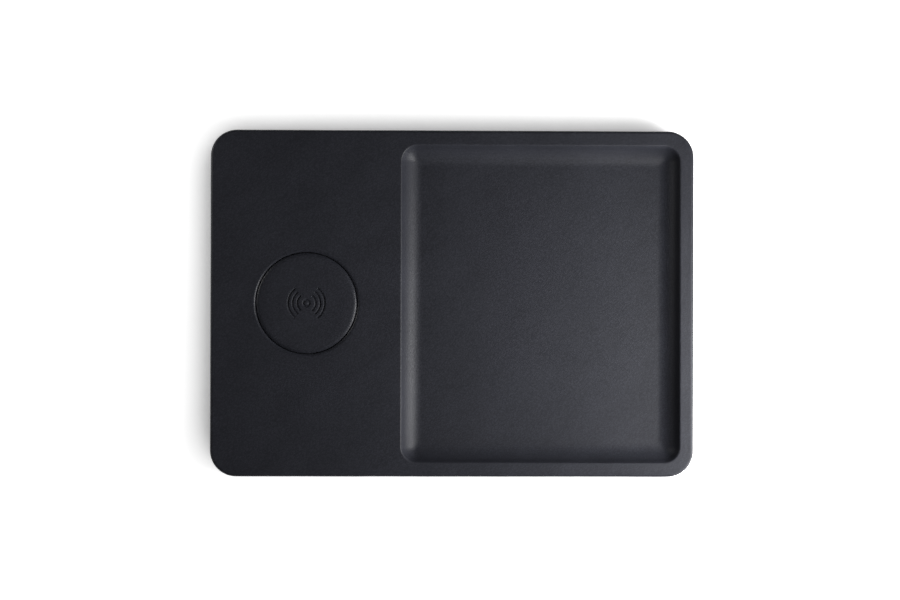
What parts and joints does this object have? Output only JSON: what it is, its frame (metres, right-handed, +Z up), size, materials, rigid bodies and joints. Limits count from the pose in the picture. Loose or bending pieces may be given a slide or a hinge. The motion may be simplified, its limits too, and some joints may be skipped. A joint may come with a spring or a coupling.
{
  "type": "charging station organizer",
  "caption": "Leather-wrapped desk tray with a round wireless charging disc set in a flat deck beside a coved rectangular catch-all basin.",
  "frame": {"origin": "centre of the outline at the foot pads' underside, where the tray meets the surface it stands on", "axes": "+X to the right along the tray's long side, from the charging disc to the basin; +Y to the rear, where the power socket is; +Z up"},
  "size_m": [0.24, 0.172, 0.0175],
  "materials": {
    "black_leather": "fine grain, semi-matt",
    "core_board": "bare fibreboard",
    "black_moulding": "fine texture",
    "dark_moulding": "smooth",
    "foot_rubber": "matt",
    "black_steel": "black zinc",
    "plain_steel": "bright zinc",
    "copper_wire": "enamelled strands",
    "ferrite": "sintered, matt",
    "red_sleeve": "smooth",
    "bead_epoxy": "glossy",
    "green_laminate": "solder mask",
    "white_nylon": "satin",
    "chip_black": "matt",
    "ceramic_tan": "matt ceramic",
    "inductor_grey": "pressed powder",
    "tantalum_yellow": "matt",
    "resistor_black": "matt",
    "gap_filler": "soft",
    "socket_steel": "bright nickel",
    "contact_gold": "gold plated",
    "light_white": "frosted",
    "clear_acrylic": "clear"
  },
  "bodies": {
    "root": {"leather_cover": "black_leather", "core_board": "core_board", "base_plate": "black_moulding", "base_screws": "black_steel", "foot_front_left": "foot_rubber", "foot_front_right": "foot_rubber", "foot_rear_left": "foot_rubber", "foot_rear_right": "foot_rubber", "disc_leather": "black_leather", "charging_cup": "dark_moulding", "charging_coil": "copper_wire", "ferrite_shield": "ferrite", "coil_retainer": "dark_moulding", "coil_leads": "red_sleeve", "coil_thermistor": "bead_epoxy", "disc_screws": "plain_steel", "circuit_board": "green_laminate", "board_spacers": "white_nylon", "board_screws": "plain_steel", "controller_chip": "chip_black", "bridge_transistors": "chip_black", "resonant_capacitors": "ceramic_tan", "power_inductor": "inductor_grey", "filter_capacitors": "tantalum_yellow", "chip_resistors": "resistor_black", "thermal_pad": "gap_filler", "usb_socket_shell": "socket_steel", "usb_socket_tongue": "chip_black", "usb_socket_contacts": "contact_gold", "port_trim": "black_moulding", "status_led": "light_white", "light_pipe": "clear_acrylic"}
  },
  "joints": []
}
